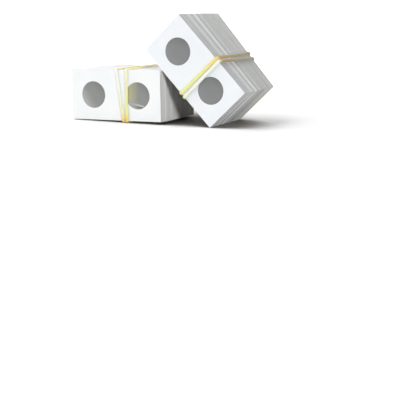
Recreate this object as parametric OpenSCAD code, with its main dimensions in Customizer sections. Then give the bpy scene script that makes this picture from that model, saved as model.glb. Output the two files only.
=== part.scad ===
// Two packs of unfolded coin flips, each held by a rubber band that goes round it twice.
// One pack rests on its long edge. The other stands on a corner and leans against it.
// A flip is a paperboard strip with two round windows, a crease between them and a clear
// film over its inner side. It folds along the crease, with a coin between its two leaves.

/* [Flip] */
// Length of an unfolded flip, which is both of its leaves
flip_l = 76.2; // [66:0.1:90]
// Height of a flip
flip_h = 38.1; // [34:0.1:45]
// Thickness of the paperboard
board_t = 0.42; // [0.3:0.01:0.5]
// Thickness of the clear film
film_t = 0.05; // [0.03:0.01:0.1]
// Diameter of each window
window_d = 20.2; // [16:0.1:24]
// Width of the scored crease on the outer side of the board
crease_w = 0.6; // [0.3:0.05:1]
// Depth of the scored crease
crease_deep = 0.12; // [0.05:0.01:0.2]
// Slit between the two leaves of a front flip
leaf_slit = 0.1; // [0.05:0.01:0.3]

/* [Pack] */
// Flips in each pack
flips = 100; // [60:10:120]
// Air between the board of one flip and the film of the next, where they are closest
air_gap = 0.1; // [0.05:0.01:0.2]
// Extra depth of the lying pack at its left end, where its flips spread apart
left_fan = 5; // [1:0.5:14]
// Extra depth of the leaning pack at its upper end, where its flips spread apart
right_fan = 12; // [1:0.5:14]
// Furthest that a flip has slipped along the surface
slip = 1.3; // [0.2:0.05:1.6]
// Furthest that the pack's pinch holds a flip above the surface
rise = 0.15; // [0.05:0.01:0.3]
// Height by which the lying pack's front flip is held above the others
front_rise = 0.4; // [0:0.05:0.8]

/* [Rubber bands] */
// Width of a strand
band_w = 2.4; // [1.6:0.1:3]
// Thickness of a strand
band_t = 0.75; // [0.5:0.05:1]
// Clearance between a strand and the flips under it
band_gap = 0.15; // [0.15:0.01:0.4]
// Inner radius where a strand turns a corner of the pack
band_bend_r = 0.5; // [0.3:0.05:0.5]
// Least space between the two turns of one band
strand_gap = 0.45; // [0.42:0.01:0.8]
// Spread over which the upper strand at the crossing comes down beside the lower one
ramp = 1; // [0.6:0.05:1.5]
// Distance from the left end to the middle of the lying pack's band, at its lower front edge
left_band_x = 46.5; // [44:0.1:50]
// Distance from the top end to the middle of the leaning pack's band, at its upper front edge
right_band_x = 45; // [44:0.1:50]

/* [Placing] */
// Slope of the leaning pack's long edge
lean_deg = 45.9; // [42:0.1:50]
// Clearance along the line where the leaning pack meets the lying one
lean_gap = 0.2; // [0.1:0.05:0.4]
// Distance that the leaning pack's front stands behind the lying one's
set_back = 2.6; // [0:0.1:8]

/* [Hidden] */
$fn = 64;
// How far a cut runs past the face that it opens
over = 0.5;
// The two packs, in the order of every list below
LEFT = 0;
RIGHT = 1;
SIDES = ["left", "right"];
// Sub-parts that the flips behind the front one are shared among, in each pack
groups = 10;

// Slip of the flips, pack by pack. Each pair holds the place in the pack from which a
// slip holds, as a share of the pack, and that slip, as a share of the furthest one.
step_share = [
    [[0, 0.18], [0.03, 0.06], [0.14, 0.25], [0.22, 0.1], [0.3, 0.35], [0.33, 0.15], [0.47, 0.3],
     [0.58, 0.05], [0.7, 0.2], [0.82, 0.1], [0.93, 0.3]],
    [[0, 0.21], [0.03, 0.02], [0.09, 0.15], [0.18, 0.3], [0.21, 0.75], [0.22, 0.45], [0.26, 0.02],
     [0.32, 0.2], [0.36, 0.85], [0.38, 0.35], [0.42, 0.15], [0.5, 0.45], [0.53, 0.3], [0.68, 0.4],
     [0.79, 0.25], [0.9, 0.35]],
];
// Share of the pack in which the lying pack's flips come down from the front one's rise
front_share = 0.15;
// Share of the furthest slip by which neighbouring flips differ
jitter_share = 0.1;
// Turns that scatter the flips' small differences in slip and in rise
slip_turn = 137.5;
rise_turn = 78;

flip_t = board_t + film_t;
pitch = flip_t + air_gap;
// Depth of a pack at the end where its flips are closest
pack_t = flips * pitch - air_gap;
fan = [left_fan, right_fan];
crease_x = flip_l / 2;
window_x = flip_l / 4;
band_out = band_gap + band_t;

// Spacing at which the two turns of a band lie side by side, and least spacing of the two
// turns at the ends of the side where they cross
beside = band_w + strand_gap;
back_least = beside + ramp;
// Middle of the two turns where they cross each edge of their pack: lower front, upper
// front, upper back and lower back. The shares are of the flip's length.
left_back_x = 0.596 * flip_l;
strand_middle = [
    [left_band_x, 0.581 * flip_l, 0.581 * flip_l, left_back_x],
    [0.589 * flip_l, right_band_x, 0.602 * flip_l, 0.595 * flip_l],
];
// How far the second turn lies beyond the first one at the same edges
strand_spread = [
    [beside, max(beside, 0.113 * flip_l), max(back_least, 0.073 * flip_l), -back_least],
    [max(beside, 0.051 * flip_l), beside, max(back_least, 0.071 * flip_l),
     -max(back_least, 0.076 * flip_l)],
];
strand_x = [
    for (k = [LEFT, RIGHT]) [
        for (side = [-1, 1], n = [0:3]) strand_middle[k][n] + side * strand_spread[k][n] / 2,
    ],
];
// The lying pack's lower left edge and its band carry it, so it tilts up to the right.
carried_x = min(left_band_x - beside / 2, left_back_x - back_least / 2) - band_w / 2;
tilt_deg = atan(band_out / carried_x);
turn_deg = [-tilt_deg, lean_deg];

// Stations along each side of a pack, and round each of its corners, in one turn of a band
side_steps = 20;
bend_steps = 3;

// Slip of one flip along the surface, and its rise above it
function step_at(k, share) =
    let (seen = [for (pair = step_share[k]) if (pair[0] <= share) pair[1]])
    seen[len(seen) - 1];
function wave(turn, i) = (1 + sin(turn * i)) / 2;
function slip_of(k, i) = slip * (step_at(k, i / flips) + jitter_share * wave(slip_turn, i));
function rise_of(k, i) =
    rise * wave(rise_turn, i)
    + (k == LEFT ? front_rise * max(0, 1 - i / (front_share * flips)) : 0);
// The same shift along the flip's own length and height
function shift_of(k, i) = [
    slip_of(k, i) * cos(turn_deg[k]) - rise_of(k, i) * sin(turn_deg[k]),
    slip_of(k, i) * sin(turn_deg[k]) + rise_of(k, i) * cos(turn_deg[k]),
];
shifts = [for (k = [LEFT, RIGHT]) [for (i = [0:flips - 1]) shift_of(k, i)]];
low_shift = [for (k = [LEFT, RIGHT]) min([for (s = shifts[k]) s[1]])];
high_shift = [for (k = [LEFT, RIGHT]) max([for (s = shifts[k]) s[1]])];

// A flip's turn away from the front one, and the places of its two ends along the front one
function fan_turn(k, i) = atan(i * fan[k] / (flips * flip_l));
function near_end(k, i) = flip_l + shifts[k][i][0] * cos(fan_turn(k, i));
function far_end(k, i) =
    flip_l - (flip_l - shifts[k][i][0]) * cos(fan_turn(k, i)) - flip_t * sin(fan_turn(k, i));
// Depth of the last flip's back at a place along the pack
function back_y(k, x) = pack_t + (flip_l - x) * tan(fan_turn(k, flips - 1));

// The leaning pack's lower side, and how far the lying pack's corners reach towards it
lean_across = [sin(lean_deg), cos(lean_deg)];
function turned(k, at) = [
    at[0] * cos(turn_deg[k]) + at[1] * sin(turn_deg[k]),
    at[1] * cos(turn_deg[k]) - at[0] * sin(turn_deg[k]),
];
left_reach = max([
    for (i = [0:flips - 1])
        turned(LEFT, [near_end(LEFT, i), flip_h + shifts[LEFT][i][1]]) * lean_across,
]);
right_foot_x = (left_reach + lean_gap) / lean_across[0];
right_corner = turned(RIGHT, [flip_l, 0]);
// The corner that each pack's sizes are measured from, before the whole part is centred
pack_at = [[0, 0, 0], [right_foot_x - right_corner[0], set_back, -right_corner[1]]];

// Box of the whole part, which is centred on the middle of its base
x_low = min([
    for (i = [0:flips - 1], up = [0, flip_h])
        turned(LEFT, [far_end(LEFT, i), shifts[LEFT][i][1] + up])[0],
]);
x_high = pack_at[RIGHT][0] + max([
    for (i = [0:flips - 1])
        turned(RIGHT, [near_end(RIGHT, i), flip_h + shifts[RIGHT][i][1]])[0],
]);
lift_most = band_t + strand_gap;
y_low = -band_out;
y_high = max([
    for (k = [LEFT, RIGHT])
        pack_at[k][1] + max(
            back_y(k, min(strand_x[k]) - band_w / 2) + band_out + lift_most,
            pack_t + (flip_l - shifts[k][flips - 1][0]) * sin(fan_turn(k, flips - 1))
        ),
]);
centre = [(x_low + x_high) / 2, (y_low + y_high) / 2, 0];

function group_first(g) = 1 + round(g * (flips - 1) / groups);
function two_figures(n) = n < 10 ? str("0", n) : str(n);
function stack_node(k, kind, g) = str(SIDES[k], "_", kind, "_", two_figures(g + 1));

// Puts a flip's or a band's own shape where its pack stands
module in_pack(k) {
    translate(pack_at[k] - centre)
        rotate([0, turn_deg[k], 0])
            children();
}

// Puts a flip's own shape at its place in the pack, counted from the front. It turns about
// the back of its near end, and has slipped in its own plane.
module in_stack(k, i) {
    translate([flip_l, i * pitch + flip_t, 0])
        rotate([0, 0, -fan_turn(k, i)])
            translate([shifts[k][i][0] - flip_l, -flip_t, shifts[k][i][1]])
                children();
}

// Board from one end to another, without windows
module board_blank(from_x, to_x) {
    translate([from_x, film_t, 0])
        cube([to_x - from_x, board_t, flip_h]);
}

module window_hole(at_x) {
    translate([at_x, film_t - over, flip_h / 2])
        rotate([-90, 0, 0])
            cylinder(d = window_d, h = board_t + 2 * over);
}

// Score that lets the board fold towards its film
module crease_cut() {
    translate([crease_x - crease_w / 2, film_t + board_t - crease_deep, -over])
        cube([crease_w, crease_deep + over, flip_h + 2 * over]);
}

module whole_board() {
    difference() {
        board_blank(0, flip_l);
        window_hole(window_x);
        window_hole(flip_l - window_x);
        crease_cut();
    }
}

module film(from_x, to_x) {
    translate([from_x, 0, 0])
        cube([to_x - from_x, film_t, flip_h]);
}

// The leaf of the front flip that is free of the band, and the leaf that the band holds
module front_leaf_board(k) {
    color("white")
        in_pack(k) in_stack(k, 0) difference() {
            board_blank(0, crease_x - leaf_slit / 2);
            window_hole(window_x);
            crease_cut();
        }
}

module front_held_board(k) {
    color("white")
        in_pack(k) in_stack(k, 0) difference() {
            board_blank(crease_x + leaf_slit / 2, flip_l);
            window_hole(flip_l - window_x);
            crease_cut();
        }
}

module front_leaf_film(k) {
    color("lightgray", 0.6)
        in_pack(k) in_stack(k, 0) film(0, crease_x - leaf_slit / 2);
}

module front_held_film(k) {
    color("lightgray", 0.6)
        in_pack(k) in_stack(k, 0) film(crease_x + leaf_slit / 2, flip_l);
}

// Boards and films of the flips behind the front one
module stacked_boards(k, g) {
    color("whitesmoke")
        in_pack(k)
            for (i = [group_first(g):group_first(g + 1) - 1])
                in_stack(k, i) whole_board();
}

module stacked_films(k, g) {
    color("silver", 0.6)
        in_pack(k)
            for (i = [group_first(g):group_first(g + 1) - 1])
                in_stack(k, i) film(0, flip_l);
}

// The box that a band is stretched round, as its lower front and upper back edge
function hold_low(k) = [-band_gap, low_shift[k] - band_gap];
function hold_high(k) = [pack_t + band_gap, flip_h + high_shift[k] + band_gap];

// Each side of that box in turn, from its first bend to its next one, with its outward
// direction in degrees: front, top, back and underside.
function hold_side(k, n) =
    let (lo = hold_low(k), hi = hold_high(k), r = band_bend_r)
    [
        [[lo[0], lo[1] + r], [lo[0], hi[1] - r], 180],
        [[lo[0] + r, hi[1]], [hi[0] - r, hi[1]], 90],
        [[hi[0], hi[1] - r], [hi[0], lo[1] + r], 0],
        [[hi[0] - r, lo[1]], [lo[0] + r, lo[1]], -90],
    ][n];

// Middle of the bend at the end of a side
function bend_middle(side) =
    side[1] - band_bend_r * [cos(side[2]), sin(side[2])];

// Stations of one turn: depth and height on the box, outward direction and place along
// the flip. The first and last stations of a side are also those of its bends.
function turn_stations(k, turn) = [
    for (n = [0:3])
        let (
            side = hold_side(k, n),
            x_start = strand_x[k][4 * turn + n],
            x_end = strand_x[k][(4 * turn + n + 1) % 8]
        )
        each concat(
            [for (j = [0:side_steps])
                let (share = j / side_steps)
                [side[0] + share * (side[1] - side[0]), side[2], x_start + share * (x_end - x_start)]],
            [for (j = [1:bend_steps - 1])
                let (out = side[2] - 90 * j / bend_steps)
                [bend_middle(side) + band_bend_r * [cos(out), sin(out)], out, x_end]]
        ),
];

function eased(share) = share * share * (3 - 2 * share);

// Height of the upper strand above the pack, where the two turns cross on its back
function lift_at(station, spread) =
    station[1] == 0 ? lift_most * eased(min(1, max(0, 1 - (abs(spread) - beside) / ramp))) : 0;

// Eight corners of a strand's section, as shares of its half width and half thickness
corner_share = 0.45;
section = [
    [1, -corner_share], [1, corner_share], [1 - corner_share / 2, 1], [corner_share / 2 - 1, 1],
    [-1, corner_share], [-1, -corner_share], [corner_share / 2 - 1, -1], [1 - corner_share / 2, -1],
];

// A depth on the box, moved with the flips that spread apart
function fanned(k, x, depth) =
    depth + (back_y(k, x) - pack_t) * min(1, max(0, depth / pack_t));

function ring_points(k, station, lift) =
    let (out = [cos(station[1]), sin(station[1])])
    [for (corner = section)
        let (
            height = lift + band_t / 2 * (1 + corner[1]),
            at = station[0] + height * out,
            x = station[2] + corner[0] * band_w / 2
        )
        [x, fanned(k, x, at[0]), at[1]]];

// One closed band that goes round its pack twice, with its one crossing bridged
module band(k) {
    first = turn_stations(k, 0);
    second = turn_stations(k, 1);
    count = len(first);
    spreads = [for (j = [0:count - 1]) first[j][2] - second[j][2]];
    lifts = [for (j = [0:count - 1]) lift_at(first[j], spreads[j])];
    points = [
        for (j = [0:count - 1]) each ring_points(k, first[j], lifts[j]),
        for (station = second) each ring_points(k, station, 0),
    ];
    sides = len(section);
    rings = 2 * count;
    faces = [
        for (j = [0:rings - 1], c = [0:sides - 1])
            let (
                here = j * sides, next = (j + 1) % rings * sides, d = (c + 1) % sides,
                corners = [here + c, here + d, next + d, next + c]
            )
            each [[corners[0], corners[1], corners[2]], [corners[0], corners[2], corners[3]]],
    ];
    least_gap = min([
        for (j = [0:count - 2], share = [0:0.1:1])
            let (
                spread = spreads[j] + share * (spreads[j + 1] - spreads[j]),
                lift = lifts[j] + share * (lifts[j + 1] - lifts[j])
            )
            norm([max(0, abs(spread) - band_w), max(0, lift - band_t)]),
    ]);
    echo(str(SIDES[k], " band, least gap between its two turns"), least_gap);
    color("khaki")
        in_pack(k) polyhedron(points, faces, convexity = 10);
}

for (k = [LEFT, RIGHT]) {
    front_leaf_board(k);
    front_leaf_film(k);
    front_held_board(k);
    front_held_film(k);
    band(k);
    for (g = [0:groups - 1]) {
        stacked_boards(k, g);
        stacked_films(k, g);
    }
}
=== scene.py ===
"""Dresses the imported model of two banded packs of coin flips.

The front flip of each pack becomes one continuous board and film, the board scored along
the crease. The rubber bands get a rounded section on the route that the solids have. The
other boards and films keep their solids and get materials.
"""

import math

import bmesh
import bpy
from mathutils import Matrix, Vector

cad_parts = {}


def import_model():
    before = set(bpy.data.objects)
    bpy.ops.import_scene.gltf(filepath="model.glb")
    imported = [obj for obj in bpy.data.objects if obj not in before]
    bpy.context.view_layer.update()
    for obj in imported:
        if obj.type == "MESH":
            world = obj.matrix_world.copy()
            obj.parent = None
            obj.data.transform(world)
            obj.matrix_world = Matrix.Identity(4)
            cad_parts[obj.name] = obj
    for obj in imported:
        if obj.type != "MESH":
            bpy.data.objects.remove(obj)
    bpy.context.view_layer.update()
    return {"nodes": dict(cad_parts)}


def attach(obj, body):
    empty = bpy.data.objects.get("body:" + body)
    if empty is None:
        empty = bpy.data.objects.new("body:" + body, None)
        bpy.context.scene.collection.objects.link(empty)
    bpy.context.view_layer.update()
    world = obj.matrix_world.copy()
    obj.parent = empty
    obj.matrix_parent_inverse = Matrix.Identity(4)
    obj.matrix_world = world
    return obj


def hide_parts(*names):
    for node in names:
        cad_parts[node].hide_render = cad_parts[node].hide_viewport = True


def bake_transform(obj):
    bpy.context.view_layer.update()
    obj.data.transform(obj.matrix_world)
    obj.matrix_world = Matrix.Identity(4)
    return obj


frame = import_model()
MM = 0.001

# Sizes that the solids have, in millimetres
FLIP_L = 76.2
FLIP_H = 38.1
BOARD_T = 0.42
FILM_T = 0.05
WINDOW_D = 20.2
CREASE_W = 0.6
CREASE_DEEP = 0.12
AIR_GAP = 0.1
PITCH = BOARD_T + FILM_T + AIR_GAP
FLIPS = 100
GROUPS = 10
PACK_T = FLIPS * PITCH - AIR_GAP
BAND_W = 2.4
BAND_T = 0.75
BAND_GAP = 0.15
BAND_BEND_R = 0.5
STRAND_GAP = 0.45
# From one turn's middle to the other's where they lie side by side, the rise of one over
# the other where they cross on the back, the extra distance over which it comes down, and
# the least distance at which it is down
BESIDE = BAND_W + STRAND_GAP
LIFT_MOST = BAND_T + STRAND_GAP
RAMP = 1.0
BACK_LEAST = BESIDE + RAMP


def limited(value):
    return min(1, max(0, value))


def of_length(share):
    """A place along a flip, given as a share of its length."""
    return share * FLIP_L


class Pack:
    """Where a pack stands, how its flips spread and where its band runs.

    corner is the pack's own zero in the row frame, turn its angle in degrees and fan how
    much deeper its far end is. front is how far the front flip has slipped along and up.
    low and high are where the flips under the band begin and end, from one flip's bottom
    and top. middle and spread give the place between the band's two turns and their
    distance, at the front's bottom and top edge and then the back's top and bottom edge.
    """

    def __init__(self, side, corner, turn, fan, front, low, high, middle, spread):
        self.side = side
        self.corner = Vector(corner)
        self.turn = math.radians(turn)
        self.fan = fan
        self.front = front
        self.low = low
        self.high = high
        self.strands = [m + way * s / 2 for way in (-1, 1) for m, s in zip(middle, spread)]

    def place(self, x, y, z):
        """A point of the pack, in millimetres, in the row frame in metres."""
        c, s = math.cos(self.turn), math.sin(self.turn)
        return (self.corner + Vector((x * c + z * s, y, z * c - x * s))) * MM

    def front_flip(self, x, y, z):
        """A point of the front flip, which has slipped a little."""
        return self.place(x + self.front[0], y, z + self.front[1])

    def fanned(self, x, depth):
        """A depth at the near end, moved with the flips that spread apart."""
        spread = (FLIP_L - x) * (FLIPS - 1) * self.fan / (FLIPS * FLIP_L)
        return depth + spread * limited(depth / PACK_T)


LEFT_BAND_X = 46.5
RIGHT_BAND_X = 45.0
PACKS = [
    Pack(
        side="left",
        corner=(-71.4165, -35.1499, 0.0),
        turn=-1.21916,
        fan=5.0,
        front=(0.3090, 0.4685),
        low=-0.0083,
        high=0.5143,
        middle=(LEFT_BAND_X, of_length(0.581), of_length(0.581), of_length(0.596)),
        spread=(
            BESIDE,
            max(BESIDE, of_length(0.113)),
            max(BACK_LEAST, of_length(0.073)),
            -BACK_LEAST,
        ),
    ),
    Pack(
        side="right",
        corner=(-9.4617, -32.5499, 54.7212),
        turn=45.9,
        fan=12.0,
        front=(0.1814, 0.2949),
        low=0.0271,
        high=0.9323,
        middle=(of_length(0.589), RIGHT_BAND_X, of_length(0.602), of_length(0.595)),
        spread=(
            max(BESIDE, of_length(0.051)),
            BESIDE,
            max(BACK_LEAST, of_length(0.071)),
            -max(BACK_LEAST, of_length(0.076)),
        ),
    ),
]


def add_object(name, data):
    made = bpy.data.objects.new(name, data)
    bpy.context.scene.collection.objects.link(made)
    return made


# Helpers for materials
def new_material(name, **values):
    material = bpy.data.materials.new(name)
    material.use_nodes = True
    shader = material.node_tree.nodes["Principled BSDF"]
    for key, value in values.items():
        shader.inputs[key.replace("_", " ")].default_value = value
    return material, material.node_tree, shader


def node(tree, kind, inputs=None, **settings):
    """A new node. Each input gets its value, or a link to the socket that gives it."""
    made = tree.nodes.new(kind)
    for key, value in settings.items():
        setattr(made, key, value)
    for key, value in (inputs or {}).items():
        if isinstance(value, bpy.types.NodeSocket):
            tree.links.new(value, made.inputs[key])
        else:
            made.inputs[key].default_value = value
    return made


def maths(tree, operation, a, b=0.0, c=0.0):
    return node(tree, "ShaderNodeMath", {0: a, 1: b, 2: c}, operation=operation).outputs[0]


def product(tree, *factors):
    made = factors[0]
    for factor in factors[1:]:
        made = maths(tree, "MULTIPLY", made, factor)
    return made


def weighted(tree, a, a_share, b, b_share, more=0.0):
    """The sum of a and b, each times its share, and of more."""
    rest = maths(tree, "MULTIPLY_ADD", b, b_share, more)
    return maths(tree, "MULTIPLY_ADD", a, a_share, rest)


def mix(tree, factor, a, b, blend="MIX"):
    """Colour a, mixed with b by the factor. The numbers are the node's colour sockets."""
    return node(
        tree, "ShaderNodeMix", {0: factor, 6: a, 7: b}, data_type="RGBA", blend_type=blend
    ).outputs[2]


def ramp(tree, value, low, high):
    """0 at low and before it, 1 at high and past it, and an even slope between them."""
    return node(
        tree,
        "ShaderNodeMapRange",
        {"Value": value, "From Min": low, "From Max": high, "To Min": 0.0, "To Max": 1.0},
    ).outputs[0]


def noise(tree, where, scale, detail=2.0, roughness=0.5):
    return node(
        tree,
        "ShaderNodeTexNoise",
        {"Vector": where, "Scale": scale, "Detail": detail, "Roughness": roughness},
    ).outputs["Fac"]


def scaled(tree, where, scales):
    return node(tree, "ShaderNodeMapping", {"Vector": where, "Scale": scales}).outputs[0]


def split(tree, vector):
    made = node(tree, "ShaderNodeSeparateXYZ", {0: vector})
    return made.outputs["X"], made.outputs["Y"], made.outputs["Z"]


def own_place(tree):
    """The shaded point in its object's own frame, in metres."""
    return node(tree, "ShaderNodeTexCoord").outputs["Object"]


def attribute(tree, name, output):
    return node(tree, "ShaderNodeAttribute", attribute_name=name).outputs[output]


def tones(tree, factor, stops):
    """A grey for each place, even between the stops."""
    made = node(tree, "ShaderNodeValToRGB", {"Fac": factor})
    elements = made.color_ramp.elements
    while len(elements) < len(stops):
        elements.new(0.5)
    for element, (place, tone) in zip(elements, stops):
        element.position = place
        element.color = (tone, tone, tone, 1)
    return made.outputs["Color"]


def bump(tree, shader, height, strength, distance):
    made = node(
        tree, "ShaderNodeBump", {"Height": height, "Strength": strength, "Distance": distance}
    )
    tree.links.new(made.outputs[0], shader.inputs["Normal"])


def looked_at(tree):
    """1 for rays from the camera, straight, reflected or through a film, and 0 for light."""
    path = node(tree, "ShaderNodeLightPath").outputs
    bounced = maths(tree, "MAXIMUM", path["Is Glossy Ray"], path["Is Transmission Ray"])
    return maths(tree, "MAXIMUM", path["Is Camera Ray"], bounced)


def in_pack(tree, pack, front):
    """The shaded point along the pack's length, depth and height, in millimetres."""
    if front:
        where = attribute(tree, "flip_place", "Vector")
    else:
        corner = tuple(v * MM for v in pack.corner)
        moved = node(
            tree,
            "ShaderNodeVectorMath",
            {0: own_place(tree), 1: corner},
            operation="SUBTRACT",
        ).outputs[0]
        level = node(
            tree,
            "ShaderNodeVectorRotate",
            {"Vector": moved, "Angle": -pack.turn},
            rotation_type="Y_AXIS",
        ).outputs[0]
        where = node(
            tree, "ShaderNodeVectorMath", {0: level, "Scale": 1 / MM}, operation="SCALE"
        ).outputs[0]
    return (where, *split(tree, where))


# Paperboard. The reaches, in millimetres, say how near a border its end or top edge is. In
# a look, "depth" and "end" give the edges' tones by depth in the pack, from the front flip
# at 0 to the last at 1, as painted light and shade: bright and dark stripes, and end faces
# that grow darker or lighter towards the back. "far" is a painted warm shade of the last
# ones and "top" a painted light that makes the upper edges whiter
END_REACH = 0.7
TOP_REACH = 0.6
FACING_LEAST = 0.5
FIBRE_STRETCH = (0.5, 3.0, 0.5)
SPECK_STRETCH = (0.9, 1.8, 0.9)
GRAIN_STRETCH = (1.2, 3.0, 1.2)
CLOUD_SPAN = (0.3, 0.7)
SPECK_SPAN = (0.3, 0.7)
LINES_SPAN = (0.45, 0.8)
LINES_SHARE = 0.5
PAINTED_TOP_LIGHT = (0.95, 0.96, 0.96, 1)
SPECK_TONES = ((0.84, 0.84, 0.84, 1), (1.1, 1.1, 1.1, 1))
PAPER_LOOKS = {
    "left": {
        "face": ((0.88, 0.91, 0.93, 1), (0.92, 0.94, 0.95, 1)),
        "edge": ((0.66, 0.67, 0.66, 1), (0.89, 0.90, 0.89, 1), (0.45, 0.45, 0.44, 1)),
        "far": (1.0, 0.99, 0.96, 1),
        "end": ((0.3, 1.0), (1.0, 0.72)),
        "top": 0.6,
        "depth": ((0.0, 1.0), (0.04, 0.85), (0.14, 1.0), (0.3, 0.95), (1.0, 0.95)),
    },
    # The two packs are one paper: the right pack's darker faces and edges are painted shade
    "right": {
        "face": ((0.84, 0.88, 0.92, 1), (0.88, 0.91, 0.95, 1)),
        "edge": ((0.31, 0.315, 0.315, 1), (0.62, 0.625, 0.625, 1), (0.18, 0.18, 0.175, 1)),
        "far": (0.95, 0.945, 0.87, 1),
        "end": ((0.05, 1.2), (0.1, 1.5), (0.16, 1.0), (0.3, 0.9), (0.52, 1.1), (0.78, 1.55)),
        "top": 0.0,
        "depth": (
            (0.0, 0.95),
            (0.04, 0.78),
            (0.09, 0.56),
            (0.15, 0.72),
            (0.19, 1.0),
            (0.26, 1.35),
            (0.29, 0.65),
            (0.32, 0.6),
            (0.345, 1.4),
            (0.385, 1.4),
            (0.41, 0.85),
            (0.49, 0.75),
            (0.52, 1.0),
            (0.6, 0.84),
            (1.0, 0.92),
        ),
    },
}


def cut_sides(tree, pack, x, front):
    """1 on a board's cut edges, and 1 at its end edge, which faces along the pack."""
    if front:
        on_edge = attribute(tree, "cut_edge", "Fac")
        return on_edge, maths(tree, "GREATER_THAN", x, FLIP_L - END_REACH)
    normal = node(tree, "ShaderNodeNewGeometry").outputs["True Normal"]
    facing = maths(tree, "ABSOLUTE", split(tree, normal)[1])
    on_edge = maths(tree, "LESS_THAN", facing, FACING_LEAST)
    along = (math.cos(pack.turn), 0, -math.sin(pack.turn))
    endways = node(
        tree, "ShaderNodeVectorMath", {0: normal, 1: along}, operation="DOT_PRODUCT"
    ).outputs["Value"]
    return on_edge, maths(tree, "GREATER_THAN", endways, FACING_LEAST)


def paper(pack, name, look, front=False):
    """Coated white paperboard. Its cut edges are greyer, and each board differs a little.
    Painted light and shade tone the edges by depth and make their tops whiter.
    """
    material, tree, shader = new_material(name, Roughness=0.62, Specular_IOR_Level=0.35)
    where, x, y, z = in_pack(tree, pack, front)
    cloud = noise(tree, where, 0.05, detail=3.0)
    fibre = noise(tree, scaled(tree, where, FIBRE_STRETCH), 1.0, detail=4.0, roughness=0.7)
    speck = noise(tree, scaled(tree, where, SPECK_STRETCH), 1.0, roughness=0.8)
    slope = pack.fan / (FLIPS * FLIP_L)
    spacing = maths(tree, "MULTIPLY_ADD", x, -slope, PITCH + FLIP_L * slope)
    flip = maths(tree, "DIVIDE", y, spacing)
    depth = maths(tree, "DIVIDE", flip, FLIPS)
    each = node(
        tree,
        "ShaderNodeTexWhiteNoise",
        {"W": maths(tree, "FLOOR", flip)},
        noise_dimensions="1D",
    ).outputs["Value"]
    on_edge, at_end = cut_sides(tree, pack, x, front)
    on_top = maths(tree, "GREATER_THAN", z, FLIP_H - TOP_REACH)
    faced = mix(tree, ramp(tree, cloud, *CLOUD_SPAN), *look["face"])
    darker, lighter, lined = look["edge"]
    cut = mix(tree, each, darker, lighter)
    cut = mix(tree, product(tree, ramp(tree, fibre, *LINES_SPAN), LINES_SHARE), cut, lined)
    # Painted light and shade: the edges' tones by depth, a warm shade towards the back and the
    # end faces' tones
    cut = mix(tree, 1.0, cut, tones(tree, depth, look["depth"]), "MULTIPLY")
    cut = mix(tree, depth, cut, look["far"], "MULTIPLY")
    cut = mix(tree, at_end, cut, tones(tree, depth, look["end"]), "MULTIPLY")
    speckled = mix(tree, ramp(tree, speck, *SPECK_SPAN), *SPECK_TONES)
    cut = mix(tree, 1.0, cut, speckled, "MULTIPLY")
    # Painted light: the upper edges whiter
    cut = mix(tree, product(tree, on_top, look["top"]), cut, PAINTED_TOP_LIGHT)
    tree.links.new(mix(tree, on_edge, faced, cut), shader.inputs["Base Color"])
    grain = noise(tree, scaled(tree, where, GRAIN_STRETCH), 2.0, detail=3.0, roughness=0.6)
    bump(tree, shader, grain, strength=0.2, distance=0.00004)
    return material


# Clear film. In a look, "alpha" is how solid it is on the board and over the window. The
# flips behind the front have slipped and their windows with them, so the grey reaches
# further there. The grey over a window is a painted shade for the dim depth of the stacked
# windows. One front window has a painted highlight and shade, as a wrinkle in the film would
# show, and a painted yellow reflection of the band
WINDOW_MORE = 1.4
RIM_SOFT = 0.05
# Colours of the painted light, shade and reflection in the front windows
PAINTED_LIGHT_FILM = (0.72, 0.73, 0.74, 1)
PAINTED_SHADE_FILM = (0.12, 0.125, 0.12, 1)
PAINTED_TOP_SHADE_FILM = (0.12, 0.135, 0.125, 1)
BAND_REFLECTION_FILM = (0.68, 0.655, 0.33, 1)
WRINKLE_SHADE = (0.16, 0.16, 0.15, 1)
WRINKLE_LIGHT = (0.80, 0.80, 0.76, 1)
# Over which distances from the window's middle each of them grows, in millimetres, with
# the direction of the first two as level and upright shares
LOW_LEFT = (-0.8, -0.6)
PALE_SPAN, PALE_POWER = (1.0, 11.0), 1.4
DARK_SPAN = (-3.0, -11.0)
TOP_SPAN, TOP_POWER = (1.0, 10.0), 1.5
GLOW_LEVEL, GLOW_UPRIGHT = (1.0, -9.0), (-5.5, -2.0)
# The painted wrinkle highlight's slope as a cosine and a sine, how far it lies below the
# window's middle and its painted shade below it, and where each fades across it, at its
# start and at its stop
WRINKLE_C, WRINKLE_S = 0.983, 0.181
WRINKLE_DOWN = 6.72
WRINKLE_SHADE_DOWN = 1.6
WRINKLE_ACROSS, WRINKLE_START, WRINKLE_STOP = (0.85, 0.25), (-5.0, 2.0), (7.5, 6.0)
WRINKLE_SHADE_ACROSS, WRINKLE_SHADE_START = (1.2, 0.4), (-2.0, 3.0)
WRINKLE_SHADE_SHARE = 0.6
WRINKLE_LIGHT_SHARE = 0.8
# In the front windows, "pale", "dark", "top", "glow" and "wrinkle" are painted light, shade,
# reflection and highlight, and the left ones' lighter grey is painted light
FRONT_FILM_LOOKS = {
    "left": {
        "board": (0.92, 0.94, 0.96, 1),
        "window": ((0.33, 0.34, 0.335, 1), (0.38, 0.39, 0.38, 1)),
        "alpha": (0.04, 0.6),
        "pale": 0.7,
        "dark": 0.3,
        "top": 0.2,
        "glow": 0.9,
        "wrinkle": True,
    },
    "right": {
        "board": (0.90, 0.94, 0.98, 1),
        "window": ((0.28, 0.295, 0.295, 1), (0.32, 0.335, 0.335, 1)),
        "alpha": (0.04, 0.6),
        "pale": 0.1,
        "dark": 0.2,
        "top": 0.35,
        "wrinkle": False,
    },
}
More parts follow.
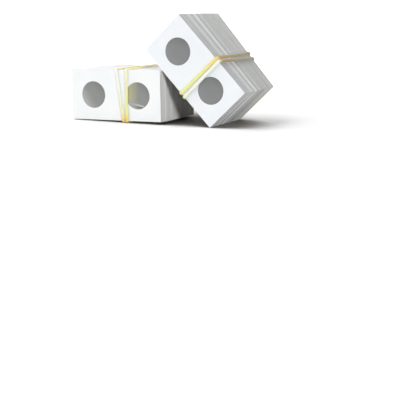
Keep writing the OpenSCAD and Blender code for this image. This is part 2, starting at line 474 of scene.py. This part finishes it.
# The grey over the stack's windows is painted shade
STACK_FILM_LOOK = {
    "board": (0.86, 0.87, 0.88, 1),
    "window": ((0.32, 0.33, 0.33, 1), (0.38, 0.39, 0.39, 1)),
    "alpha": (1.0, 0.35),
}


def window_place(tree, pack, x, z):
    """Distances from the nearer window's middle, in millimetres.

    The first two run along the flip's length and height, the others level and upright.
    """
    u = maths(tree, "SUBTRACT", maths(tree, "MODULO", x, FLIP_L / 2), FLIP_L / 4)
    v = maths(tree, "SUBTRACT", z, FLIP_H / 2)
    c, s = math.cos(pack.turn), math.sin(pack.turn)
    return u, v, weighted(tree, u, c, v, s), weighted(tree, v, c, u, -s)


def painted_wrinkle_and_reflection(tree, look, grey, x, level, upright):
    """The grey of a front window with a painted yellow reflection of the band and a painted
    highlight and shade near its bottom, as a wrinkle in the film would show.
    """
    held = maths(tree, "GREATER_THAN", x, FLIP_L / 2)
    across = weighted(tree, level, WRINKLE_S, upright, WRINKLE_C, WRINKLE_DOWN)
    along = weighted(tree, level, WRINKLE_C, upright, -WRINKLE_S)
    glow = product(
        tree,
        held,
        ramp(tree, level, *GLOW_LEVEL),
        ramp(tree, upright, *GLOW_UPRIGHT),
        look["glow"],
    )
    below = maths(tree, "ABSOLUTE", maths(tree, "ADD", across, WRINKLE_SHADE_DOWN))
    shade = product(
        tree,
        held,
        ramp(tree, below, *WRINKLE_SHADE_ACROSS),
        ramp(tree, along, *WRINKLE_SHADE_START),
        WRINKLE_SHADE_SHARE,
    )
    light = product(
        tree,
        held,
        ramp(tree, maths(tree, "ABSOLUTE", across), *WRINKLE_ACROSS),
        ramp(tree, along, *WRINKLE_START),
        ramp(tree, along, *WRINKLE_STOP),
        WRINKLE_LIGHT_SHARE,
    )
    # Painted reflection of the band, then the painted wrinkle's shade and highlight
    grey = mix(tree, glow, grey, BAND_REFLECTION_FILM)
    grey = mix(tree, shade, grey, WRINKLE_SHADE)
    return mix(tree, light, grey, WRINKLE_LIGHT)


def front_window(tree, look, grey, x, level, upright):
    """Painted light and shade in a front window, as a slight bulge of the film would show:
    paler low on the left, darker towards the upper right and at the top.
    """
    low_left = weighted(tree, level, LOW_LEFT[0], upright, LOW_LEFT[1])
    pale = maths(tree, "POWER", ramp(tree, low_left, *PALE_SPAN), PALE_POWER)
    dark = ramp(tree, low_left, *DARK_SPAN)
    top = maths(tree, "POWER", ramp(tree, upright, *TOP_SPAN), TOP_POWER)
    # Painted light low on the left, painted shade towards the upper right and at the top
    grey = mix(tree, product(tree, pale, look["pale"]), grey, PAINTED_LIGHT_FILM)
    grey = mix(tree, product(tree, dark, look["dark"]), grey, PAINTED_SHADE_FILM)
    grey = mix(tree, product(tree, top, look["top"]), grey, PAINTED_TOP_SHADE_FILM)
    return painted_wrinkle_and_reflection(tree, look, grey, x, level, upright) if look["wrinkle"] else grey


def clear_film(pack, name, look, front=False):
    """Clear film, which looks white where it is bonded to a board and grey over a window.
    The grey is a painted shade for the dim depth of the stacked windows, seen through the
    layers of film.
    """
    material, tree, shader = new_material(name, Roughness=0.16, Specular_IOR_Level=0.5)
    where, x, _, z = in_pack(tree, pack, front)
    u, v, level, upright = window_place(tree, pack, x, z)
    from_middle = maths(tree, "SQRT", weighted(tree, u, u, v, v))
    radius = WINDOW_D / 2 + (0 if front else WINDOW_MORE)
    bonded = ramp(tree, from_middle, radius - RIM_SOFT, radius + RIM_SOFT)
    mask = maths(tree, "SUBTRACT", 1.0, bonded)
    grey = mix(tree, noise(tree, where, 0.07), *look["window"])
    if front:
        grey = front_window(tree, look, grey, x, level, upright)
    tree.links.new(mix(tree, mask, look["board"], grey), shader.inputs["Base Color"])
    on_board, on_window = look["alpha"]
    alpha = maths(tree, "MULTIPLY_ADD", mask, on_window - on_board, on_board)
    tree.links.new(alpha, shader.inputs["Alpha"])
    bump(tree, shader, noise(tree, where, 0.14, detail=1.0), strength=0.3, distance=0.0002)
    return material


# Rubber. A stain mixes the two colours of each tone
RUBBER_TONES = {
    "pale": ((0.78, 0.82, 0.32, 1), (0.84, 0.83, 0.38, 1)),
    "deep": ((0.88, 0.62, 0.15, 1), (0.92, 0.72, 0.24, 1)),
    "painted_glare": ((0.86, 0.885, 0.77, 1), (0.89, 0.905, 0.84, 1)),
    "painted_brown_shade": ((0.38, 0.25, 0.07, 1), (0.46, 0.31, 0.10, 1)),
    "painted_side_shade": ((0.31, 0.275, 0.16, 1), (0.37, 0.33, 0.20, 1)),
}


def rubber():
    """Pale yellow rubber, deeper in colour where the turns touch. Painted glare makes it paler
    up the fronts and painted shade browner and duller off them.
    """
    material, tree, shader = new_material(
        "rubber_band", Roughness=0.48, Specular_IOR_Level=0.4, Subsurface_Weight=0.3
    )
    shader.inputs["Subsurface Radius"].default_value = (1.0, 0.75, 0.25)
    shader.inputs["Subsurface Scale"].default_value = 0.0006
    touching, painted_glare, painted_side_shade = split(tree, attribute(tree, "overlap_and_painted_light", "Vector"))
    at = own_place(tree)
    stain = noise(tree, at, 240.0, detail=3.0)
    tone = {key: mix(tree, stain, *pair) for key, pair in RUBBER_TONES.items()}
    colour = mix(tree, touching, tone["pale"], tone["deep"])
    # Painted glare, paler up the fronts
    colour = mix(tree, painted_glare, colour, tone["painted_glare"])
    # Painted shade off the fronts: browner, then duller
    colour = mix(tree, ramp(tree, painted_side_shade, 0.0, 0.5), colour, tone["painted_brown_shade"])
    colour = mix(tree, ramp(tree, painted_side_shade, 0.5, 1.0), colour, tone["painted_side_shade"])
    tree.links.new(colour, shader.inputs["Base Color"])
    grain = noise(tree, at, 2600.0, detail=3.0, roughness=0.6)
    bump(tree, shader, grain, strength=0.25, distance=0.00005)
    return material


BOARD = {p.side: paper(p, f"{p.side}_paper", PAPER_LOOKS[p.side]) for p in PACKS}
FRONT_BOARD = {
    p.side: paper(p, f"{p.side}_front_paper", PAPER_LOOKS[p.side], front=True) for p in PACKS
}
FRONT_FILM = {
    p.side: clear_film(p, f"{p.side}_front_film", FRONT_FILM_LOOKS[p.side], front=True)
    for p in PACKS
}
STACK_FILM = {p.side: clear_film(p, f"{p.side}_film", STACK_FILM_LOOK) for p in PACKS}
RUBBER = rubber()


def dress(name, material):
    materials = frame["nodes"][name].data.materials
    materials.clear()
    materials.append(material)


for pack in PACKS:
    for group in range(1, GROUPS + 1):
        dress(f"{pack.side}_boards_{group:02d}", BOARD[pack.side])
        dress(f"{pack.side}_films_{group:02d}", STACK_FILM[pack.side])


def finished(mesh, name, material, attributes):
    """The mesh as an object, with attributes given as name, kind, domain and values."""
    bmesh.ops.recalc_face_normals(mesh, faces=mesh.faces)
    data = bpy.data.meshes.new(name)
    mesh.to_mesh(data)
    mesh.free()
    for key, kind, domain, values in attributes:
        field = "vector" if kind == "FLOAT_VECTOR" else "value"
        data.attributes.new(key, kind, domain).data.foreach_set(field, values)
    data.materials.append(material)
    return add_object(name, data)


# The front flips. Each leaf has rings of points round its window, and a strip of columns
# joins the leaves across the crease. SKIN keeps board and film from lying in one plane,
# and the last two are tolerances
RAYS = 96
RINGS = 5
STRIP = 9
STRIP_MORE = 0.1
INNER_RINGS = (0.33, 0.67)
SKIN = 0.004
NO_SLOPE = 1e-9
SAME_PLACE = 1e-6


def leaf_outline(edge, mirrored):
    """Rings of points from a window's rim to its leaf's border, as (x, z) lists."""
    middle = (FLIP_L / 4, FLIP_H / 2)
    rim, border = [], []
    corners = [
        math.atan2(z - middle[1], x - middle[0])
        for x, z in ((edge, FLIP_H), (0, FLIP_H), (0, 0), (edge, 0))
    ]
    turns = [2 * math.pi * i / RAYS for i in range(RAYS)]
    for corner in corners:
        off = [abs(math.remainder(turn - corner, 2 * math.pi)) for turn in turns]
        turns[off.index(min(off))] = corner % (2 * math.pi)
    for turn in turns:
        c, s = math.cos(turn), math.sin(turn)
        reach = []
        if abs(c) > NO_SLOPE:
            reach.append(((edge if c > 0 else 0) - middle[0]) / c)
        if abs(s) > NO_SLOPE:
            reach.append(((FLIP_H if s > 0 else 0) - middle[1]) / s)
        out = min(r for r in reach if r > 0)
        rim.append((middle[0] + WINDOW_D / 2 * c, middle[1] + WINDOW_D / 2 * s))
        border.append((middle[0] + out * c, middle[1] + out * s))
    rings = []
    for j in range(RINGS + 1):
        t = j / RINGS
        rings.append(
            [(a[0] + t * (b[0] - a[0]), a[1] + t * (b[1] - a[1])) for a, b in zip(rim, border)]
        )
    if mirrored:
        rings = [[(FLIP_L - x, z) for x, z in ring] for ring in rings]
    return rings


def flip_faces(filled):
    """Points and faces of a whole flip seen from the front, with or without its windows."""
    points, faces = [], []

    def add(x, z):
        points.append((x, z))
        return len(points) - 1

    edge = FLIP_L / 2 - CREASE_W / 2 - STRIP_MORE
    seams = []
    for mirrored in (False, True):
        way = -1 if mirrored else 1
        ids = [[add(x, z) for x, z in ring] for ring in leaf_outline(edge, mirrored)]
        for inner, outer in zip(ids, ids[1:]):
            for i in range(RAYS):
                k = (i + 1) % RAYS
                faces.append([inner[i], outer[i], outer[k], inner[k]][::way])
        if filled:
            mx, mz = FLIP_L / 4, FLIP_H / 2
            if mirrored:
                mx = FLIP_L - mx
            middle = add(mx, mz)
            rim = [points[i] for i in ids[0]]
            fill = []
            for out in INNER_RINGS:
                fill.append([add(mx + out * (x - mx), mz + out * (z - mz)) for x, z in rim])
            fill.append(ids[0])
            for i in range(RAYS):
                k = (i + 1) % RAYS
                faces.append([middle, fill[0][i], fill[0][k]][::way])
                for inner, outer in zip(fill, fill[1:]):
                    faces.append([inner[i], outer[i], outer[k], inner[k]][::way])
        half_strip = FLIP_L / 2 - edge
        from_crease = {i: abs(points[i][0] - FLIP_L / 2) for i in ids[RINGS]}
        seam = [i for i in ids[RINGS] if abs(from_crease[i] - half_strip) < SAME_PLACE]
        seams.append(sorted(seam, key=lambda i: points[i][1]))
    columns = [seams[0]]
    for j in range(1, STRIP):
        x = edge + (FLIP_L - 2 * edge) * j / STRIP
        columns.append([add(x, points[i][1]) for i in seams[0]])
    columns.append(seams[1])
    for a, b in zip(columns, columns[1:]):
        for i in range(len(a) - 1):
            faces.append([a[i], b[i], b[i + 1], a[i + 1]])
    return points, faces


def plate(name, pack, front_y, back_y, filled, material, groove=0.0):
    """One flip-sized sheet between two depths. groove is how far its back is scored."""
    points, faces = flip_faces(filled)
    mesh = bmesh.new()
    layers, places = [], []
    for depth, is_back in ((front_y, False), (back_y, True)):
        layer = []
        for x, z in points:
            y = depth
            from_crease = abs(x - FLIP_L / 2)
            if is_back and groove and from_crease < CREASE_W / 2:
                y -= groove * math.cos(from_crease / (CREASE_W / 2) * math.pi / 2)
            layer.append(mesh.verts.new(pack.front_flip(x, y, z)))
            places += [x, y, z]
        layers.append(layer)
    front, back = layers
    open_edges = {}
    for face in faces:
        mesh.faces.new([front[i] for i in face])
        mesh.faces.new([back[i] for i in reversed(face)])
        for a, b in zip(face, face[1:] + face[:1]):
            if (b, a) in open_edges:
                del open_edges[(b, a)]
            else:
                open_edges[(a, b)] = True
    flat = len(mesh.faces)
    for a, b in open_edges:
        mesh.faces.new([front[b], front[a], back[a], back[b]])
    cut = [float(i >= flat) for i in range(len(mesh.faces))]
    attributes = (
        ("flip_place", "FLOAT_VECTOR", "POINT", places),
        ("cut_edge", "FLOAT", "FACE", cut),
    )
    return finished(mesh, name, material, attributes)


for pack in PACKS:
    bend = [
        pack.front_flip(FLIP_L / 2 + shift, 0, FLIP_H / 2)
        for shift in (CREASE_W / 2, -CREASE_W / 2)
    ]
    board = plate(
        f"{pack.side}_front_board",
        pack,
        FILM_T + SKIN,
        FILM_T + BOARD_T,
        False,
        FRONT_BOARD[pack.side],
        groove=CREASE_DEEP,
    )
    film = plate(
        f"{pack.side}_front_film", pack, 0.0, FILM_T - SKIN, True, FRONT_FILM[pack.side]
    )
    for piece, kind, slot in ((board, "board", "white_board"), (film, "film", "clear_film")):
        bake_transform(piece)
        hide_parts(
            f"{pack.side}_front_leaf_{kind}", f"{pack.side}_front_held_{kind}"
        )


# The rubber bands
SIDE_STEPS = 30
BEND_STEPS = 6
SECTION = 16
SECTION_SHAPE = (0.45, 0.6)
# How near the turns have to be for their deeper colour, in widths of the band, and how
# strong it is along the left band's top and on the right one
TOUCH_REACH = {"left": 0.55, "right": 0.25}
TOP_TOUCH = 0.55
RIGHT_TOUCH = 0.7
# How fast the painted glare that pales the band grows with height on the fronts: on the left
# band's first turn, on its second, and on the right band's second
LEFT_FADE = 1.6
LEFT_SECOND_FADE = 0.7
RIGHT_FADE_LOW, RIGHT_FADE = 0.5, 2
# The depths, in millimetres, over which the right band's painted shade grows, first brown
# and then dull
BROWN_OVER = 4
DULL_FROM, DULL_OVER = 5, 25


def eased(value):
    return value * value * (3 - 2 * value)


def stations(pack, turn):
    """Depth and height on the pack, outward direction and place along it, round one turn."""
    low = (-BAND_GAP, pack.low - BAND_GAP)
    high = (PACK_T + BAND_GAP, FLIP_H + pack.high + BAND_GAP)
    r = BAND_BEND_R
    sides = [
        ((low[0], low[1] + r), (low[0], high[1] - r), 180),
        ((low[0] + r, high[1]), (high[0] - r, high[1]), 90),
        ((high[0], high[1] - r), (high[0], low[1] + r), 0),
        ((high[0] - r, low[1]), (low[0] + r, low[1]), -90),
    ]
    out = []
    for n, (start, end, degrees) in enumerate(sides):
        x_start = pack.strands[4 * turn + n]
        x_end = pack.strands[(4 * turn + n + 1) % 8]
        facing = math.radians(degrees)
        for j in range(SIDE_STEPS + 1):
            t = j / SIDE_STEPS
            at = [a + t * (b - a) for a, b in zip(start, end)]
            out.append((at, facing, x_start + t * (x_end - x_start)))
        middle = (end[0] - r * math.cos(facing), end[1] - r * math.sin(facing))
        for j in range(1, BEND_STEPS):
            facing = math.radians(degrees - 90 * j / BEND_STEPS)
            at = (middle[0] + r * math.cos(facing), middle[1] + r * math.sin(facing))
            out.append((at, facing, x_end))
    return out


def rounded(i):
    """A corner-rounded rectangle's point i, as shares of its half width and half thickness."""
    turn = 2 * math.pi * (i + 0.5) / SECTION
    c, s = math.cos(turn), math.sin(turn)
    return (
        math.copysign(abs(c) ** SECTION_SHAPE[0], c),
        math.copysign(abs(s) ** SECTION_SHAPE[1], s),
    )


def overlap_and_painted_light_at(pack, turn, at, outward, spread):
    """How deep the rubber's colour is at one station, and how far painted glare pales it and
    painted shade dulls it.
    """
    reach = BAND_W * TOUCH_REACH[pack.side]
    touching = eased(limited(1 - (abs(spread) - BESIDE) / reach))
    on_front = max(0, -outward[0])
    up = limited(at[1] / FLIP_H)
    if pack.side == "left":
        # Painted glare, growing with height on the fronts
        faded = min(1, LEFT_FADE * up) if turn == 0 else LEFT_SECOND_FADE * up**2
        return [max(touching, TOP_TOUCH * max(0, outward[1])), on_front * faded, 0.0]
    # Painted glare on the right band's second turn, growing with height on the front
    painted_glare = on_front * (turn == 1) * min(1, RIGHT_FADE_LOW + RIGHT_FADE * up)
    # Painted shade off the fronts, growing with depth
    brown = limited(at[0] / BROWN_OVER)
    painted_side_shade = 0.5 * brown + 0.5 * limited((at[0] - DULL_FROM) / DULL_OVER)
    return [RIGHT_TOUCH * touching, painted_glare, painted_side_shade * (1 - on_front)]


def band(pack):
    """A closed loop of two turns. The first rises over the other where they cross."""
    name = f"{pack.side}_rubber_band"
    turns = [stations(pack, 0), stations(pack, 1)]
    spreads = [a[2] - b[2] for a, b in zip(*turns)]
    outline = [rounded(i) for i in range(SECTION)]
    mesh = bmesh.new()
    rings, overlap_and_painted_light = [], []
    for turn, run in enumerate(turns):
        for spread, (at, facing, x) in zip(spreads, run):
            lift = 0.0
            if turn == 0 and facing == 0:
                lift = LIFT_MOST * eased(limited(1 - (abs(spread) - BESIDE) / RAMP))
            outward = (math.cos(facing), math.sin(facing))
            ring = []
            for across, up in outline:
                height = lift + BAND_T / 2 * (1 + up)
                along = x + across * BAND_W / 2
                depth = pack.fanned(along, at[0] + height * outward[0])
                point = pack.place(along, depth, at[1] + height * outward[1])
                ring.append(mesh.verts.new(point))
            rings.append(ring)
            overlap_and_painted_light += overlap_and_painted_light_at(pack, turn, at, outward, spread) * SECTION
    for here, onward in zip(rings, rings[1:] + rings[:1]):
        for i in range(SECTION):
            k = (i + 1) % SECTION
            mesh.faces.new([here[i], here[k], onward[k], onward[i]]).smooth = True
    piece = finished(mesh, name, RUBBER, (("overlap_and_painted_light", "FLOAT_VECTOR", "POINT", overlap_and_painted_light),))
    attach(piece, f"{pack.side}_pack")
    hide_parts(f"{pack.side}_band")


for pack in PACKS:
    band(pack)


# The stage, in metres
FLOOR_HALF = 30.0
FLOOR_DROP = 0.00005
SHADE_REACH = 0.04
SHADE_SAMPLES = 12
SHADE_SPAN = (0.12, 0.65)
SHADE_POWER = 3.0
OPEN_TONE = (0.72, 0.72, 0.72, 1)
SHADE_TONE = (0.36, 0.34, 0.315, 1)
DEEP_TONE = (0.11, 0.10, 0.09, 1)
# What lights the packs from below is a duller floor than the one that is seen
LIT_OPEN_TONE = (0.54, 0.52, 0.49, 1)
LIT_SHADE_TONE = (0.16, 0.15, 0.13, 1)
# Where the floor between the packs and behind them is in shadow: from where to where each
# side of it grows. The one behind runs skewed, as the packs' own shadow does
BETWEEN = {"left": (-0.003, 0.003), "right": (0.048, 0.038), "front": (-0.036, -0.029)}
BEHIND = {"sides": (0.075, 0.03), "back": (0.1, 0.03), "front": (-0.01, 0.02)}
BEHIND_SKEW = 1.22
BEHIND_X = 0.018
BEHIND_SHARE = 0.8
GLOW_NEAR = 0.26
GLOW_MORE = 0.5
GLOW_SPAN = (0.12, 0.4)
WORLD_LIGHT = 0.17
# Each lamp's name, where it stands, its share of full light and its spread in degrees
LAMPS = (
    ("near", (0.72, -0.59, 0.10), 0.57, 10),
    ("high", (-0.58, -0.30, 0.76), 0.98, 55),
    ("back", (-0.30, 0.85, 0.45), 0.3, 30),
)


def floor():
    """A white floor that keeps the packs' soft shadow."""
    data = bpy.data.meshes.new("floor")
    near, far = -FLOOR_HALF, FLOOR_HALF
    data.from_pydata(
        [(near, near, 0), (far, near, 0), (far, far, 0), (near, far, 0)], [], [(0, 1, 2, 3)]
    )
    made = add_object("floor", data)
    made.location.z = -FLOOR_DROP
    material, tree, shader = new_material("floor", Roughness=0.9, Specular_IOR_Level=0.1)
    seen = looked_at(tree)
    open_sky = node(
        tree, "ShaderNodeAmbientOcclusion", {"Distance": SHADE_REACH}, samples=SHADE_SAMPLES
    ).outputs["AO"]
    open_sky = maths(tree, "POWER", ramp(tree, open_sky, *SHADE_SPAN), SHADE_POWER)
    at = own_place(tree)
    x, y = split(tree, at)[:2]
    skewed = maths(tree, "MULTIPLY_ADD", y, BEHIND_SKEW, x)
    sideways = maths(tree, "ABSOLUTE", maths(tree, "ADD", skewed, -BEHIND_X))
    behind = product(
        tree,
        ramp(tree, sideways, *BEHIND["sides"]),
        ramp(tree, y, *BEHIND["back"]),
        ramp(tree, y, *BEHIND["front"]),
    )
    between = product(
        tree,
        ramp(tree, x, *BETWEEN["left"]),
        ramp(tree, x, *BETWEEN["right"]),
        ramp(tree, y, *BETWEEN["front"]),
    )
    shade = mix(tree, maths(tree, "MAXIMUM", between, behind), SHADE_TONE, DEEP_TONE)
    clear = maths(tree, "MULTIPLY_ADD", behind, -BEHIND_SHARE, 1.0)
    open_sky = maths(tree, "MULTIPLY", open_sky, clear)
    shown = mix(tree, open_sky, shade, OPEN_TONE)
    unseen = mix(tree, open_sky, LIT_SHADE_TONE, LIT_OPEN_TONE)
    tree.links.new(mix(tree, seen, unseen, shown), shader.inputs["Base Color"])
    away = node(tree, "ShaderNodeVectorMath", {0: at}, operation="LENGTH").outputs["Value"]
    glow = maths(tree, "MULTIPLY_ADD", ramp(tree, away, *GLOW_SPAN), GLOW_MORE, GLOW_NEAR)
    shader.inputs["Emission Color"].default_value = (1, 1, 1, 1)
    strength = product(tree, glow, open_sky, seen)
    tree.links.new(strength, shader.inputs["Emission Strength"])
    data.materials.append(material)


def world():
    """White where it is seen, and a weak light from all round."""
    made = bpy.data.worlds.new("studio")
    bpy.context.scene.world = made
    made.use_nodes = True
    tree = made.node_tree
    tree.nodes.clear()
    more = maths(tree, "MULTIPLY", looked_at(tree), 1 - WORLD_LIGHT)
    strength = maths(tree, "ADD", WORLD_LIGHT, more)
    background = node(
        tree, "ShaderNodeBackground", {"Color": (1, 1, 1, 1), "Strength": strength}
    )
    output = node(tree, "ShaderNodeOutputWorld")
    tree.links.new(background.outputs[0], output.inputs["Surface"])


def sun(name, towards, strength, spread):
    """A soft lamp that shines from a direction. Strength is the share of full light."""
    data = bpy.data.lights.new(name, "SUN")
    data.energy = strength * math.pi
    data.angle = math.radians(spread)
    lamp = add_object(name, data)
    lamp.rotation_mode = "QUATERNION"
    lamp.rotation_quaternion = Vector(towards).normalized().to_track_quat("Z", "Y")


floor()
world()
for lamp in LAMPS:
    sun(*lamp)

# The camera, fitted to the packs' corners and windows: its place in millimetres, its
# turns in degrees, and its focal length and picture width in pixels
CAMERA_AT = (339.359, -678.106, 96.223)
YAW, PITCH_DOWN, ROLL = (math.radians(v) for v in (-25.0564, 11.9249, -0.3033))
FOCAL_PX = 980.66
PICTURE_W = 403
SENSOR_W = 36
camera_data = bpy.data.cameras.new("camera")
camera = add_object("camera", camera_data)
forward = Vector(
    (
        math.sin(YAW) * math.cos(PITCH_DOWN),
        math.cos(YAW) * math.cos(PITCH_DOWN),
        -math.sin(PITCH_DOWN),
    )
)
level = Vector((math.cos(YAW), -math.sin(YAW), 0))
down = forward.cross(level)
right = math.cos(ROLL) * level + math.sin(ROLL) * down
down = -math.sin(ROLL) * level + math.cos(ROLL) * down
turned = Matrix((right, -down, -forward)).transposed().to_4x4()
camera.matrix_world = Matrix.Translation(Vector(CAMERA_AT) * MM) @ turned
camera_data.sensor_width = SENSOR_W
camera_data.lens = SENSOR_W * FOCAL_PX / PICTURE_W
camera_data.clip_start = 0.01
camera_data.clip_end = 100
bpy.context.scene.camera = camera
bpy.context.scene.view_settings.view_transform = "Standard"
